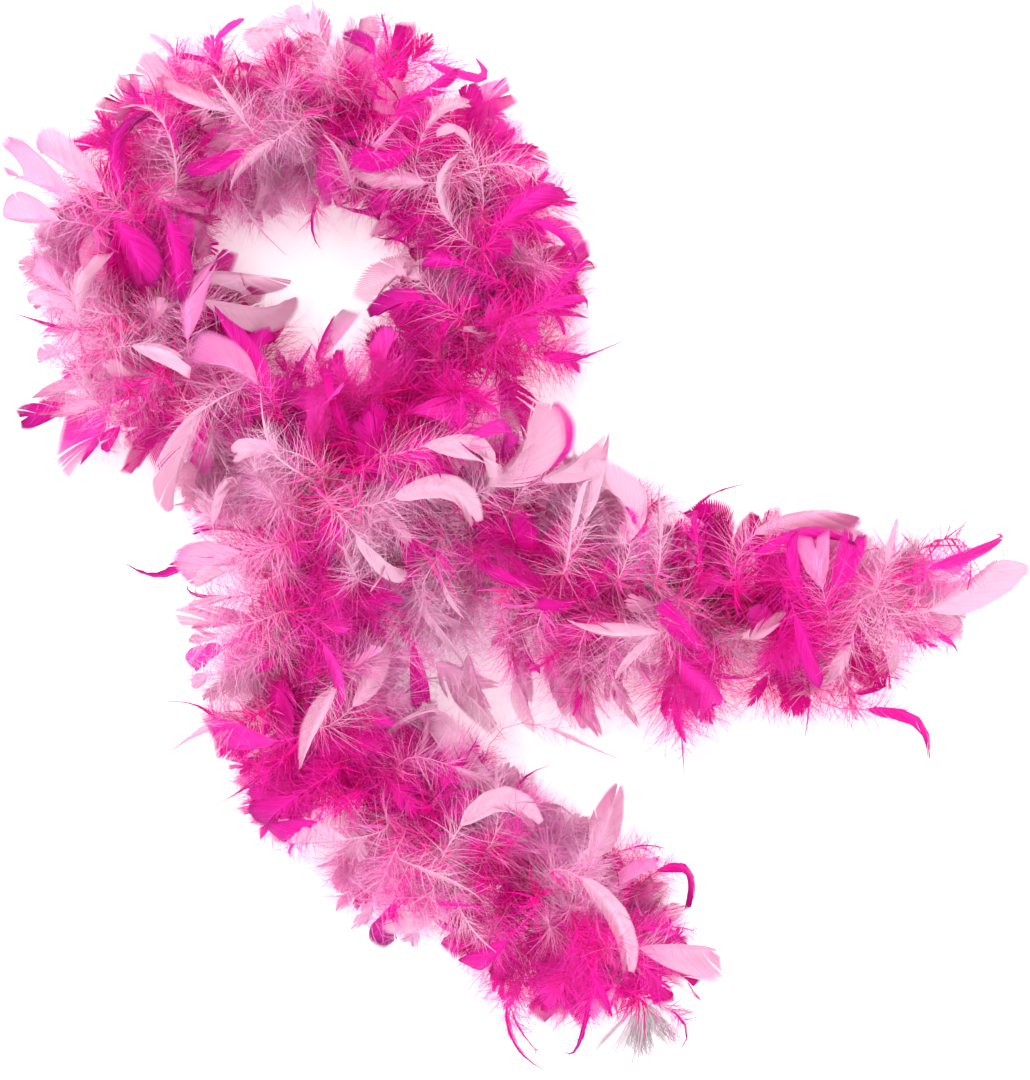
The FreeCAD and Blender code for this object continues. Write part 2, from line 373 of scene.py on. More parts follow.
def varied_tint(tint, shift, spread, count, rng):
    """A tint for each strip, spread about a middle one."""
    return np.clip(tint + rng.normal(shift, spread, count), *TINT_RANGE)


def same_tones(first, last, stations, count):
    """Tones that run evenly from root to tip, the same for every strip."""
    return np.linspace(first, last, stations)[None, :] + np.zeros((count, 1))


DOWN_START = 0.03
DOWN_STATIONS = 5
DOWN_LEAN = (24, 82)
DOWN_BOW = 0.30
DOWN_WAVE = (0.0002, 0.0007)
DOWN_THICKNESS = (0.00020, 0.00040)
DOWN_TONE = 0.42


def add_down(strips, feather, style, tint, rng):
    """Loose fluff round the lower part of the quill, deep in tone near the core, which is painted shade."""
    count = style["down_count"]
    t = DOWN_START + (style["down_end"] - DOWN_START) * rng.uniform(0, 1, count) ** 0.8
    root, way, width, face = feather.at(t)
    lateral = left_or_right(count, rng)
    tilt = rng.normal(0, 0.7, count)[:, None]
    out = np.cos(tilt) * width * lateral + np.sin(tilt) * face
    lean = np.radians(rng.uniform(*DOWN_LEAN, count))[:, None]
    heading = unit(out * np.sin(lean) + way * np.cos(lean))
    share = t / style["down_end"]
    length = style["down_length"] * rng.uniform(0.5, 1.15, count) * (0.72 + 0.5 * np.sin(math.pi * share))
    sideways = any_side(heading, rng)
    bow = rng.normal(0.0, DOWN_BOW, count)
    wave = rng.uniform(*DOWN_WAVE, count)
    thick = rng.uniform(*DOWN_THICKNESS, count)
    grid = hair_grid(root, heading, sideways, length, bow, wave, thick, DOWN_STATIONS, rng)
    along = np.linspace(0.0, 1.0, DOWN_STATIONS)[None, :]
    # The tone is lowest at the roots and near the core: painted shade deep in the fluff.
    tone = DOWN_TONE * np.clip(0.10 + 0.62 * share[:, None] + 0.42 * along, 0, 1)
    strips.add_grid(grid, tone, varied_tint(tint, 0, 0.14, count, rng))


MAT_STATIONS = 4
MAT_WAVE = 0.0006
UNDER_DOWN_END = 0.40
UNDER_DOWN_LENGTH = 0.022
UNDER_DOWN_THICKNESS = (0.0014, 0.0026)


def add_under_down(strips, feather, style, tint, rng):
    """Short matted down close to the core, which closes the view to it. Its deep tones and low tints are
    painted shade.
    """
    count = style["under_count"]
    root, way, width, face = feather.at(rng.uniform(0.0, UNDER_DOWN_END, count))
    spin = rng.uniform(0, 2 * math.pi, count)[:, None]
    onward = way * rng.uniform(-0.1, 0.9, count)[:, None]
    heading = unit(np.cos(spin) * width + np.sin(spin) * face + onward)
    length = UNDER_DOWN_LENGTH * rng.uniform(0.6, 1.1, count)
    sideways = any_side(heading, rng)
    bow = rng.normal(0.0, 0.35, count)
    wave = np.full(count, MAT_WAVE)
    thick = rng.uniform(*UNDER_DOWN_THICKNESS, count)
    grid = hair_grid(root, heading, sideways, length, bow, wave, thick, MAT_STATIONS, rng)
    # Deep tones and low tints: painted shade in the crevices near the core.
    tone = same_tones(0.00, 0.12, MAT_STATIONS, count)
    strips.add_grid(grid, tone, varied_tint(0.30 * tint, 0.14, 0.08, count, rng))


BARB_STATIONS = 5
BARB_LEAN = (24, 50)
BARB_WAVE = 0.00010
BARB_THICKNESS = (0.00024, 0.00042)


def add_side_barbs(strips, feather, style, tint, rng):
    """Stiff, straight, separate barbs where the down gives way to the vane."""
    count = style["stiff_count"]
    root, way, width, face = feather.at(
        rng.uniform(style["down_end"] - 0.22, style["down_end"] + 0.12, count)
    )
    lateral = left_or_right(count, rng)
    lean = np.radians(rng.uniform(*BARB_LEAN, count))[:, None]
    out = lateral * width + face * rng.normal(0, 0.25, count)[:, None]
    heading = unit(out * np.sin(lean) + way * np.cos(lean))
    length = style["stiff_length"] * rng.uniform(0.6, 1.15, count)
    sideways = unit(np.cross(heading, face))
    bow = rng.normal(0.0, 0.12, count)
    wave = np.full(count, BARB_WAVE)
    thick = rng.uniform(*BARB_THICKNESS, count)
    grid = hair_grid(root, heading, sideways, length, bow, wave, thick, BARB_STATIONS, rng)
    tone = same_tones(0.30, 0.62, BARB_STATIONS, count)
    strips.add_grid(grid, tone, varied_tint(tint, 0.12, 0.12, count, rng))


VANE_STATIONS = 7
VANE_ROUNDING = 0.16
VANE_FIRST_REACH = 0.45
VANE_OVERLAP = 0.00022
VANE_TONE = 0.58
VANE_TONE_RISE = 0.10
BARB_TIP_FROM = 0.86
BARB_TIP_CUT = 0.75


def vane_reach(t, style):
    """The share of the full barb length at positions t along the quill."""
    rise = np.clip((t - style["vane_start"]) / VANE_ROUNDING, 0.0, 1.0)
    fall = np.clip((t - style["shoulder"]) / (1.001 - style["shoulder"]), 0.0, 1.0)
    opening = VANE_FIRST_REACH + (1 - VANE_FIRST_REACH) * np.sqrt(rise)
    return opening * (1.0 - (1.0 - style["tip_share"]) * fall ** style["tip_power"])


def barb_edge(feather, style, lateral, full, t, shift, lift, u):
    """One edge of each barb on one side of the vane, rooted at positions t."""
    root, way, width, face = feather.at(t)
    close_up = ((t - t[0]) / (1 - t[0])) ** style["lean_power"]
    lean = np.radians(style["lean_base"] + (style["lean_tip"] - style["lean_base"]) * close_up) + shift
    reach = full * vane_reach(t, style) / np.sin(np.radians(style["lean_base"]))
    room = (1 - t) * feather.length + 0.5 * full
    reach = np.minimum(reach, room / np.cos(lean))[:, None, None]
    lean = lean[:, None, None]
    hook = style["hook"] * 0.5 * u ** 2
    outward = reach * np.sin(lean) * (u - hook)
    onward = reach * (np.cos(lean) * u + hook)
    arch = reach * (style["camber"] * u ** 2 + lift[:, None, None] * u ** 1.5)
    return root[:, None] + width[:, None] * lateral * outward + way[:, None] * onward + face[:, None] * arch


def add_vane(strips, feather, style, tint, rng):
    """The flat vane: a row of zipped barbs on each side, which splits here and there."""
    count = style["vane_barbs"]
    edge_t = np.linspace(style["vane_start"], 1.0, count + 1)
    along = ((edge_t[:-1] - edge_t[0]) / (1 - edge_t[0]))[:, None]
    u = np.linspace(0.0, 1.0, VANE_STATIONS)[None, :, None]
    for lateral in (-1.0, 1.0):
        clump = np.cumsum(rng.uniform(0, 1, count) < style["split"])
        shift = rng.normal(0, style["split_angle"], clump.max() + 1)[clump]
        lift = rng.normal(0, style["split_lift"], clump.max() + 1)[clump]
        full = style["vane_width"] * (style["lopsided"] if lateral > 0 else 1.0)
        low, high = (
            barb_edge(feather, style, lateral, full, t, shift, lift, u) for t in (edge_t[:-1], edge_t[1:])
        )
        pinch = 1.0 - BARB_TIP_CUT * np.clip((u - BARB_TIP_FROM) / (1 - BARB_TIP_FROM), 0, 1)
        high = low + (high - low) * pinch
        tile = feather.at(edge_t[:-1])[3][:, None] * (VANE_OVERLAP * np.clip(u * 3, 0, 1))
        grid = np.stack([low - tile, high + tile], axis=2)
        if lateral < 0:
            grid = grid[:, :, ::-1]
        # The tone rises towards the vane's tip with the dye, and its outer edge is darkened as painted shade.
        tone = (
            VANE_TONE + style["dark"] + VANE_TONE_RISE * along + style["painted_rim_shade"] * u[:, :, 0] ** 5
            + style["tip_dark"] * along ** 3
        )
        shade = varied_tint(tint, 0, 0.08, count, rng)
        strips.add_grid(press_to_floor(grid), np.clip(tone, 0, 0.99), shade)


# The quill's low tone at its root takes the painted shade near the core.
QUILL_PARTS = [0, 0.5, 1.0]
QUILL_RADII = [0.00075, 0.0004, 0.00012]
QUILL_TONES = [0.04, 0.22, 0.5]


def add_quill(strips, feather, style, tint):
    """The quill, thick at its root and drawn out to a point."""
    radii = np.interp(QUILL_STEPS, QUILL_PARTS, QUILL_RADII) * style["quill"]
    tone = np.interp(QUILL_STEPS, QUILL_PARTS, QUILL_TONES)[None, :]
    grid = press_to_floor(tube(feather.points, radii, 4)[None])
    strips.add_grid(grid, tone, np.array([min(tint + 0.15, 0.95)]), closed=True)


# Positions along the quill run from 0 to 1, leans are in degrees and lengths in metres.
# The rim value darkens the vane's outer edge: painted shade.
BASE_STYLE = dict(
    under_count=20, down_count=165, down_end=0.70, down_length=0.023, stiff_count=18, stiff_length=0.018,
    vane_start=0.55, vane_barbs=24, vane_width=0.010, shoulder=0.70, tip_share=0.35, tip_power=1.6,
    lean_base=42, lean_tip=12, lean_power=2.2, hook=0.28, camber=0.16, split=0.12, split_angle=0.05,
    split_lift=0.04, painted_rim_shade=0.16, tip_dark=0.05, dark=0.0, lopsided=1.0, quill=1.0,
)
STYLES = {
    "fluffy": dict(
        under_count=26, down_count=310, down_end=0.90, down_length=0.033, stiff_count=12, vane_start=0.70,
        vane_barbs=12, vane_width=0.0095, split=0.30, split_angle=0.10, split_lift=0.08, painted_rim_shade=0.08, quill=0.55,
    ),
    "broad": dict(
        under_count=22, down_count=160, down_end=0.58, down_length=0.021, stiff_count=22, vane_start=0.42,
        vane_barbs=34, vane_width=0.0165, shoulder=0.84, tip_share=0.70,
    ),
    "slender": dict(
        down_count=110, down_end=0.58, down_length=0.018, stiff_count=16, stiff_length=0.014,
        vane_start=0.50, vane_barbs=20, vane_width=0.0055, shoulder=0.55, tip_share=0.12, tip_power=1.0,
        lean_base=30, camber=0.25, painted_rim_shade=0.24, tip_dark=0.22,
    ),
    "blunt": dict(shoulder=0.86, tip_share=0.72, lean_tip=14, lean_power=4.0),
    "round": dict(shoulder=0.72, tip_share=0.40, tip_power=2.4, lean_tip=10, lean_power=3.0),
    "point": dict(shoulder=0.40, tip_share=0.08, tip_power=1.2, lean_tip=20),
    "edge": dict(shoulder=0.45, tip_share=0.12, tip_power=1.0, lean_tip=22, lopsided=0.12, quill=1.7),
    "spike": dict(
        down_count=60, shoulder=0.35, tip_share=0.10, tip_power=0.9, lean_base=24, lean_tip=8,
        stiff_count=24, tip_dark=0.20,
    ),
}


def add_feather(strips, feather, style, tint, rng):
    """A whole feather: quill, down, side barbs and vane."""
    add_quill(strips, feather, style, tint)
    add_under_down(strips, feather, style, tint, rng)
    add_down(strips, feather, style, tint, rng)
    add_side_barbs(strips, feather, style, tint, rng)
    add_vane(strips, feather, style, tint, rng)


# ------------------------------------------------------------------------------ where feathers go

# Near the two ends feathers lean out past the core, by up to so many radians.
END_ZONE = 0.040
UPPER_END_LEAN = 0.85
LOWER_END_LEAN = -0.45

# How close to the floor a feather may point, and how far one that would go lower is splayed out.
TIP_CLEAR = 0.010
LEAST_DROP = 0.004
SPLAY = 0.5


def lean_out(distance, swing):
    """How far a feather leans along the core, in radians: outwards at the two ends."""
    to_end = CORE_LENGTH - distance
    if distance < END_ZONE:
        return swing / 2 - UPPER_END_LEAN * (1 - distance / END_ZONE)
    if to_end < END_ZONE:
        return swing / 2 + LOWER_END_LEAN * (1 - to_end / END_ZONE)
    return swing


def off_floor(direction, height, length, side, leftward):
    """A direction no steeper than the core's height allows, and whether it had to be splayed out."""
    steepest = -max(height - TIP_CLEAR, LEAST_DROP) / length
    if direction[2] >= steepest:
        return direction, False
    flat = np.array([direction[0], direction[1], 0.0])
    flat = flat + side * (SPLAY if leftward > 0 else -SPLAY)
    flat = unit(flat) * math.sqrt(1 - steepest ** 2)
    return np.array([flat[0], flat[1], steepest]), True


# Where each dyed bundle shows: millimetres along the core, and to the left of it.
PATCHES = {
    "hot": [
        (-20, -20), (85, 45), (90, 0), (80, -50), (140, 50), (140, -10), (150, -55), (220, 55), (245, 10),
        (275, 35), (285, -5), (300, -60), (340, 30), (355, -55), (370, 55), (385, 0), (410, 30),
        (400, -40), (450, -35), (495, -5), (510, -45), (530, 50), (545, -50), (590, 60), (610, -30),
        (650, -30), (700, 25), (745, -25), (775, 45), (805, 15), (860, -10), (895, 40), (890, -40),
        (930, 30), (915, 0), (955, 5), (950, 45), (960, -40), (1000, 45), (1010, 0), (1000, -45),
        (1050, 30), (1085, -35), (1090, 45), (1115, 0), (1135, -30), (1160, 10), (1210, 65), (1200, -20),
        (1260, 25), (1270, 60), (1270, -10), (1320, 50), (1325, 10), (1375, 20), (1410, -35), (1440, 20),
        (1480, 0), (1500, 55), (1530, -50), (1565, -5), (1595, -25), (1620, -60), (1640, -25), (1650, 60),
        (1690, 10),
    ],
    "pale": [
        (-20, 30), (30, 0), (30, -45), (190, 20), (200, -45), (260, -30), (300, 55), (315, 20),
        (335, -35), (445, 35), (480, 55), (500, 35), (550, 0), (595, 25), (655, 55), (655, 15),
        (705, -15), (740, 35), (775, 10), (785, -35), (820, 55), (825, -20), (850, 30), (1045, -30),
        (1125, 50), (1165, 50), (1200, 30), (1240, 50), (1240, -35), (1335, -15), (1310, -55),
        (1360, -45), (1365, 55), (1395, 0), (1450, 60), (1460, -45), (1515, -15), (1540, 40), (1590, 55),
        (1600, 20), (1650, 25), (1700, 50), (1690, -40),
    ],
}
PATCH_PLACES = {colour: np.array(places) * 0.001 for colour, places in PATCHES.items()}
PATCH_WEIGHTS = {"hot": 0.84, "pale": 1.0}


def patch_colour(distance, lateral):
    """The colour of the nearest bundle. Hot pink ones count as nearer than they are."""
    here = np.array([distance, lateral])
    gaps = {
        colour: float((np.hypot(*(places - here).T) * PATCH_WEIGHTS[colour]).min())
        for colour, places in PATCH_PLACES.items()
    }
    return min(gaps, key=gaps.get)


DYES = {"hot": "hot_pink", "pale": "pale_pink"}
groups = {(colour, k): Strips() for colour in DYES for k in range(SECTIONS)}


def section_of(distance):
    """The section of core that a distance falls in."""
    return min(max(int(distance / CORE_LENGTH * SECTIONS), 0), SECTIONS - 1)


# How far the feathers reach to the right and to the left of the core, along it.
FULLNESS = np.array([
    (0.00, 0.45, 1.00), (0.06, 0.80, 1.35), (0.15, 0.85, 1.40), (0.25, 0.95, 1.45), (0.40, 1.10, 1.30),
    (0.50, 1.00, 1.15), (0.60, 1.10, 0.95), (0.70, 1.15, 0.80), (0.80, 1.15, 0.80), (0.90, 1.10, 0.90),
    (1.00, 1.15, 0.95), (1.08, 1.05, 1.30), (1.15, 1.10, 1.30), (1.25, 1.25, 1.25), (1.35, 0.90, 1.35),
    (1.45, 1.00, 1.30), (1.52, 1.05, 1.02), (1.60, 1.10, 1.12), (1.65, 0.80, 0.95), (1.71, 0.50, 0.62),
])

# A feather whose tip would pass these limits on the floor plan is cut down, but never below a share.
OUTLINE_LOW = np.array([-0.330, -0.326])
OUTLINE_HIGH = np.array([0.338, 0.348])
OUTLINE_CUT = 1.2
LEAST_SHARE = 0.6


def fullness(distance, leftward):
    """The share of the usual length for a feather that points so much to the left."""
    right, left = (np.interp(distance, FULLNESS[:, 0], FULLNESS[:, k]) for k in (1, 2))
    return 1 + ((left if leftward > 0 else right) - 1) * abs(leftward)


def shortened(root, direction, length):
    """The length, cut down where the feather would reach past the boa's outline."""
    tip = (root + direction * length)[:2]
    over = max(*(OUTLINE_LOW - tip), *(tip - OUTLINE_HIGH), 0.0)
    return max(length - over * OUTLINE_CUT, LEAST_SHARE * length)


# The last and first stretch of core whose feathers may lie over the frayed yarn.
LOWER_FRAY_ZONE = 0.055
UPPER_FRAY_ZONE = 0.030


def hides_fray(feather, distance):
    """Whether a feather near an end would lie over the frayed yarn past it."""
    tip = feather.point(0.85)
    if distance > CORE_LENGTH - LOWER_FRAY_ZONE:
        return tip[1] < LINE[-1][1] - 0.002
    if distance < UPPER_FRAY_ZONE:
        return tip[1] - LINE[0][1] > 0.004 and tip[2] > LINE[0][2]
    return False


BUNDLE_PITCH = 0.0078
BUNDLE_FEATHERS = 4
BUNDLE_SPREAD = 0.004
BUNDLE_LENGTH = (0.055, 0.069)
GOLDEN = math.radians(137.5)
KINDS = ["fluffy", "broad", "slender"]
KIND_SHARES = [0.62, 0.29, 0.09]
ODD_COLOUR_SHARE = 0.07
USUAL_LENGTH = 0.064


def fill_core():
    """Bundles of feathers all along and all round the core, each bundle fanned from one spot."""
    rng = np.random.default_rng(SEED)
    for bundle in range(int(CORE_LENGTH / BUNDLE_PITCH)):
        middle = (bundle + rng.uniform(0.2, 0.8)) * BUNDLE_PITCH
        bundle_turn = GOLDEN * bundle + rng.normal(0, 0.3)
        bundle_lean = rng.normal(0, 0.42)
        bundle_swirl = rng.uniform(0, 2 * math.pi)
        bundle_length = rng.uniform(*BUNDLE_LENGTH)
        bundle_curl = abs(rng.normal(0.6, 0.35))
        bundle_tint = rng.uniform(0.2, 0.8)
        for _ in range(BUNDLE_FEATHERS):
            distance = middle + rng.normal(0, BUNDLE_SPREAD)
            distance = min(max(distance, BUNDLE_SPREAD), CORE_LENGTH - BUNDLE_SPREAD)
            point, way = along_core(distance)
            side, upward = core_frame(way)
            turn = bundle_turn + rng.normal(0, 0.42)
            outward = side * math.sin(turn) + upward * math.cos(turn)
            lean = lean_out(distance, bundle_lean + rng.normal(0, 0.25))
            direction = outward * math.cos(lean) + way * math.sin(lean)
            kind = rng.choice(KINDS, p=KIND_SHARES)
            length = bundle_length * rng.uniform(0.86, 1.12) * (1 - 0.17 * max(direction[2], 0))
            length *= fullness(distance, math.sin(turn))
            to_end = CORE_LENGTH - distance
            if to_end < END_ZONE:
                length *= 0.62 + 0.38 * to_end / END_ZONE
            direction, low = off_floor(direction, point[2], length, side, math.sin(turn))
            root = point + direction * CORE_RADIUS * 0.8
            length = shortened(root, direction, length)
            swirl = bundle_swirl + rng.normal(0, 0.5)
            curl_to = way * math.cos(swirl) + np.cross(way, direction) * math.sin(swirl)
            if low or direction[2] < -0.15:
                curl_to = UP + 0.2 * curl_to
            curl = bundle_curl + rng.normal(0, 0.2)
            if kind == "broad":
                curl = 0.9 + abs(rng.normal(0.35, 0.35))
            feather = curled_feather(root, direction, curl_to, length, curl, rng.normal(0, 0.4))
            if hides_fray(feather, distance):
                continue
            shown = feather.point(0.65) - point
            colour = patch_colour(distance + np.dot(shown, way), np.dot(shown, side))
            if rng.uniform() < ODD_COLOUR_SHARE:
                colour = "pale" if colour == "hot" else "hot"
            style = {**BASE_STYLE, **STYLES[kind]}
            style["down_length"] *= feather.length / USUAL_LENGTH
            style["vane_width"] *= rng.uniform(0.7, 1.25)
            style["camber"] *= rng.uniform(-1.5, 2.5)
            style["lopsided"] = rng.choice([1.0, 0.75, 0.25])
            tint = min(max(bundle_tint + rng.normal(0, 0.12), 0.1), 0.9)
            add_feather(groups[colour, section_of(distance)], feather, style, tint, rng)


MAT_HAIRS = 11000
MAT_LENGTH = (0.014, 0.026)
MAT_THICKNESS = (0.0008, 0.0018)


def mat_core():
    """Short dense down straight out of the core all round, which hides the yarn. Its deep tones are painted
    shade.
    """
    rng = np.random.default_rng(SEED + 20)
    distance = rng.uniform(BUNDLE_SPREAD, CORE_LENGTH - BUNDLE_SPREAD, MAT_HAIRS)
    turn = rng.uniform(0, 2 * math.pi, MAT_HAIRS)
    point, way = along_core(distance)
    side, upward = core_frame(way)
    outward = side * np.sin(turn)[:, None] + upward * np.cos(turn)[:, None]
    heading = unit(outward + way * rng.normal(0, 0.7, MAT_HAIRS)[:, None])
    length = rng.uniform(*MAT_LENGTH, MAT_HAIRS)
    sideways = any_side(heading, rng)
    bow = rng.normal(0.0, 0.30, MAT_HAIRS)
    wave = np.full(MAT_HAIRS, MAT_WAVE)
    thick = rng.uniform(*MAT_THICKNESS, MAT_HAIRS)
    root = point + outward * CORE_RADIUS
    grid = hair_grid(root, heading, sideways, length, bow, wave, thick, MAT_STATIONS, rng)
    # Deep tones near the core: painted shade.
    tone = same_tones(0.02, 0.22, MAT_STATIONS, MAT_HAIRS)
    tint = rng.uniform(0.1, 0.7, MAT_HAIRS)
    keys = [(patch_colour(s, x), section_of(s)) for s, x in zip(distance, np.sin(turn) * length)]
    for key, strips in groups.items():
        chosen = np.array([k == key for k in keys])
        if chosen.any():
            strips.add_grid(grid[chosen], tone[chosen], tint[chosen])
